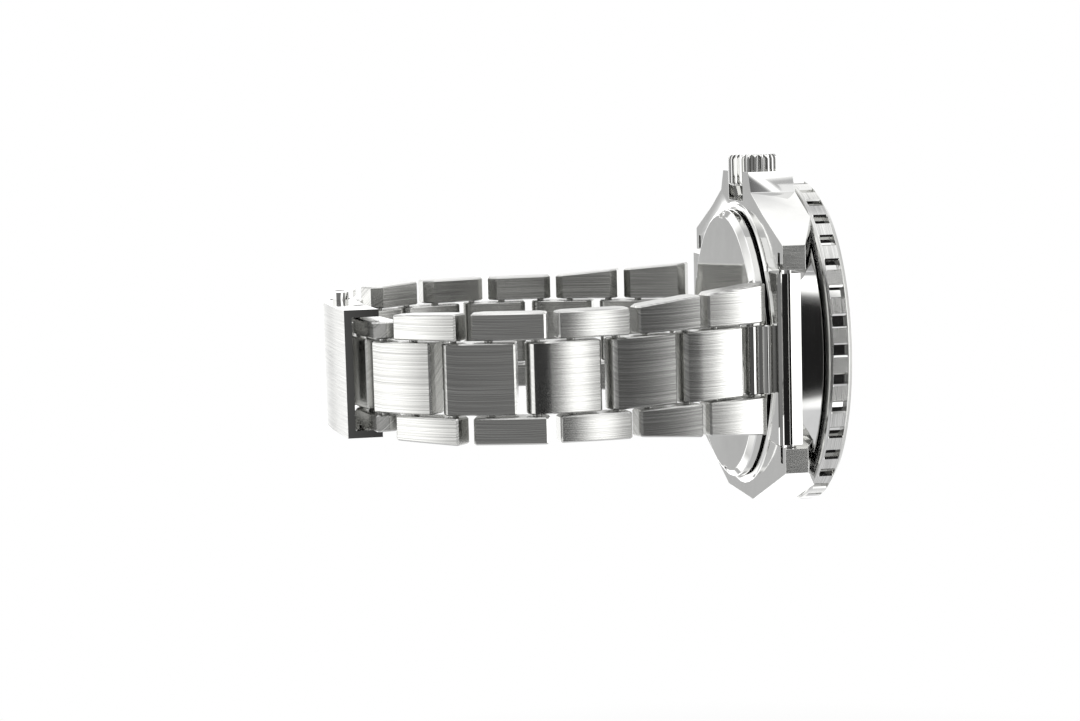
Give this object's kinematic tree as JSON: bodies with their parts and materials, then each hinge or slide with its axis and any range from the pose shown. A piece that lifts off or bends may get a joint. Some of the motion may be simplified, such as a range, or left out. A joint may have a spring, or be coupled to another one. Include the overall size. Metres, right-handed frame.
{
  "type": "diver's wristwatch",
  "caption": "Analogue diver's wristwatch with a slotted turning bezel, screw crown between guards and a tapered three-row steel bracelet with a folding clasp.",
  "frame": {"origin": "middle of the case back's outer face, which lies against the wrist", "axes": "+X out of the dial, +Z towards the crown at 3 o'clock, -Y towards 12 o'clock; the bracelet loop hangs towards -X"},
  "size_m": [0.0649, 0.0614, 0.0457],
  "materials": {
    "brushed_steel": "satin brushed",
    "polished_steel": "mirror polished",
    "gasket_rubber": "matt",
    "black_insert": "gloss",
    "black_dial": "satin",
    "lume": "matt",
    "sapphire_crystal": "clear polished",
    "rhodium_plate": "fine satin",
    "holder_plastic": "matt"
  },
  "bodies": {
    "case": {"bezel_click_spring": "rhodium_plate", "case_back": "polished_steel", "case_back_gasket": "gasket_rubber", "case_middle": "polished_steel", "chapter_ring": "black_dial", "crown_tube": "polished_steel", "crystal": "sapphire_crystal", "crystal_gasket": "gasket_rubber", "dial": "black_dial", "end_link_12": "brushed_steel", "end_link_6": "brushed_steel", "movement": "rhodium_plate", "movement_holder": "holder_plastic", "spring_bar_12": "polished_steel", "spring_bar_6": "polished_steel"},
    "bezel": {"bezel_ring": "polished_steel", "bezel_insert": "black_insert", "bezel_pip": "lume"},
    "hour_hand_arbor": {"hour_hand": "lume"},
    "minute_hand_arbor": {"minute_hand": "lume"},
    "seconds_hand_arbor": {"seconds_hand": "lume"},
    "winding_rotor": {"rotor": "rhodium_plate"},
    "winding_stem": {"crown_stem": "polished_steel"},
    "winding_crown": {"crown": "polished_steel"},
    "link_12_1": {"outer_pair_12_1": "brushed_steel", "centre_link_12_1": "brushed_steel"},
    "link_12_2": {"outer_pair_12_2": "brushed_steel", "centre_link_12_2": "brushed_steel"},
    "link_12_3": {"outer_pair_12_3": "brushed_steel", "centre_link_12_3": "brushed_steel"},
    "link_12_4": {"outer_pair_12_4": "brushed_steel", "centre_link_12_4": "brushed_steel"},
    "link_12_5": {"outer_pair_12_5": "brushed_steel", "centre_link_12_5": "brushed_steel", "link_screw_12_5": "polished_steel"},
    "link_12_6": {"outer_pair_12_6": "brushed_steel", "centre_link_12_6": "brushed_steel", "link_screw_12_6": "polished_steel"},
    "link_6_1": {"outer_pair_6_1": "brushed_steel", "centre_link_6_1": "brushed_steel"},
    "link_6_2": {"outer_pair_6_2": "brushed_steel", "centre_link_6_2": "brushed_steel"},
    "link_6_3": {"outer_pair_6_3": "brushed_steel", "centre_link_6_3": "brushed_steel"},
    "link_6_4": {"outer_pair_6_4": "brushed_steel", "centre_link_6_4": "brushed_steel", "link_screw_6_4": "polished_steel"},
    "link_6_5": {"outer_pair_6_5": "brushed_steel", "centre_link_6_5": "brushed_steel", "link_screw_6_5": "polished_steel", "clasp_spring_bar_6": "polished_steel"},
    "cover": {"clasp_cover": "brushed_steel", "clasp_spring_bar_12": "polished_steel", "blade_pin_cover": "polished_steel"},
    "button_3": {"push_button_3": "polished_steel"},
    "button_9": {"push_button_9": "polished_steel"},
    "blade_outer": {"clasp_blade_outer": "brushed_steel", "blade_pin_fold": "polished_steel"},
    "blade_inner": {"clasp_blade_inner": "brushed_steel"}
  },
  "joints": [
    {"name": "bezel_turn", "type": "hinge", "parent": "case", "child": "bezel", "pos_m": [0, 0, 0], "axis": [1, 0, 0], "continuous": true},
    {"name": "minute_turn", "type": "hinge", "parent": "case", "child": "minute_hand_arbor", "pos_m": [0, 0, 0], "axis": [-1, 0, 0], "continuous": true},
    {"name": "hour_turn", "type": "hinge", "parent": "case", "child": "hour_hand_arbor", "pos_m": [0, 0, 0], "axis": [-1, 0, 0], "continuous": true},
    {"name": "seconds_turn", "type": "hinge", "parent": "case", "child": "seconds_hand_arbor", "pos_m": [0, 0, 0], "axis": [-1, 0, 0], "continuous": true},
    {"name": "rotor_swing", "type": "hinge", "parent": "case", "child": "winding_rotor", "pos_m": [0, 0, 0], "axis": [1, 0, 0], "continuous": true},
    {"name": "crown_pull", "type": "slide", "parent": "case", "child": "winding_stem", "axis": [0, 0, 1], "range_m": [0, 0.0016]},
    {"name": "crown_turn", "type": "hinge", "parent": "winding_stem", "child": "winding_crown", "pos_m": [0.0044, 0, 0.0206], "axis": [0, 0, 1], "continuous": true},
    {"name": "pin_12_1", "type": "hinge", "parent": "case", "child": "link_12_1", "pos_m": [-0.0016, -0.0204, 0], "axis": [0, 0, 1], "range_deg": [0, 25]},
    {"name": "pin_12_2", "type": "hinge", "parent": "link_12_1", "child": "link_12_2", "pos_m": [-0.01055, -0.02439, 0], "axis": [0, 0, 1], "range_deg": [0, 25]},
    {"name": "pin_12_3", "type": "hinge", "parent": "link_12_2", "child": "link_12_3", "pos_m": [-0.01976, -0.02774, 0], "axis": [0, 0, 1], "range_deg": [0, 25]},
    {"name": "pin_12_4", "type": "hinge", "parent": "link_12_3", "child": "link_12_4", "pos_m": [-0.02951, -0.02876, 0], "axis": [0, 0, 1], "range_deg": [0, 25]},
    {"name": "pin_12_5", "type": "hinge", "parent": "link_12_4", "child": "link_12_5", "pos_m": [-0.03902, -0.02639, 0], "axis": [0, 0, 1], "range_deg": [0, 25]},
    {"name": "pin_12_6", "type": "hinge", "parent": "link_12_5", "child": "link_12_6", "pos_m": [-0.04652, -0.02009, 0], "axis": [0, 0, 1], "range_deg": [0, 25]},
    {"name": "pin_6_1", "type": "hinge", "parent": "case", "child": "link_6_1", "pos_m": [-0.0016, 0.0204, 0], "axis": [0, 0, -1], "range_deg": [0, 25]},
    {"name": "pin_6_2", "type": "hinge", "parent": "link_6_1", "child": "link_6_2", "pos_m": [-0.01055, 0.02439, 0], "axis": [0, 0, -1], "range_deg": [0, 25]},
    {"name": "pin_6_3", "type": "hinge", "parent": "link_6_2", "child": "link_6_3", "pos_m": [-0.01976, 0.02774, 0], "axis": [0, 0, -1], "range_deg": [0, 25]},
    {"name": "pin_6_4", "type": "hinge", "parent": "link_6_3", "child": "link_6_4", "pos_m": [-0.02951, 0.02876, 0], "axis": [0, 0, -1], "range_deg": [0, 25]},
    {"name": "pin_6_5", "type": "hinge", "parent": "link_6_4", "child": "link_6_5", "pos_m": [-0.03902, 0.02639, 0], "axis": [0, 0, -1], "range_deg": [0, 25]},
    {"name": "cover_hinge", "type": "hinge", "parent": "link_12_6", "child": "cover", "pos_m": [-0.04856, -0.01051, 0], "axis": [0, 0, 1], "range_deg": [0, 10]},
    {"name": "clasp_open", "type": "hinge", "parent": "cover", "child": "blade_outer", "pos_m": [-0.04904, 0.01434, 0], "axis": [0, 0, 1], "range_deg": [0, 40]},
    {"name": "clasp_fold", "type": "hinge", "parent": "blade_outer", "child": "blade_inner", "pos_m": [-0.05006, -0.00451, 0], "axis": [0, 0, 1], "range_deg": [-80, 0]},
    {"name": "button_3_press", "type": "slide", "parent": "cover", "child": "button_3", "axis": [0, 0, -1], "range_m": [0, 0.0005], "stiffness_N_per_m": 400},
    {"name": "button_9_press", "type": "slide", "parent": "cover", "child": "button_9", "axis": [0, 0, 1], "range_m": [0, 0.0005], "stiffness_N_per_m": 400}
  ],
  "couplings": [
    {"joint": "hour_turn", "follows": "minute_turn", "ratio": 0.083333},
    {"joint": "seconds_turn", "follows": "minute_turn", "ratio": 60},
    {"joint": "clasp_fold", "follows": "clasp_open", "ratio": -2}
  ]
}
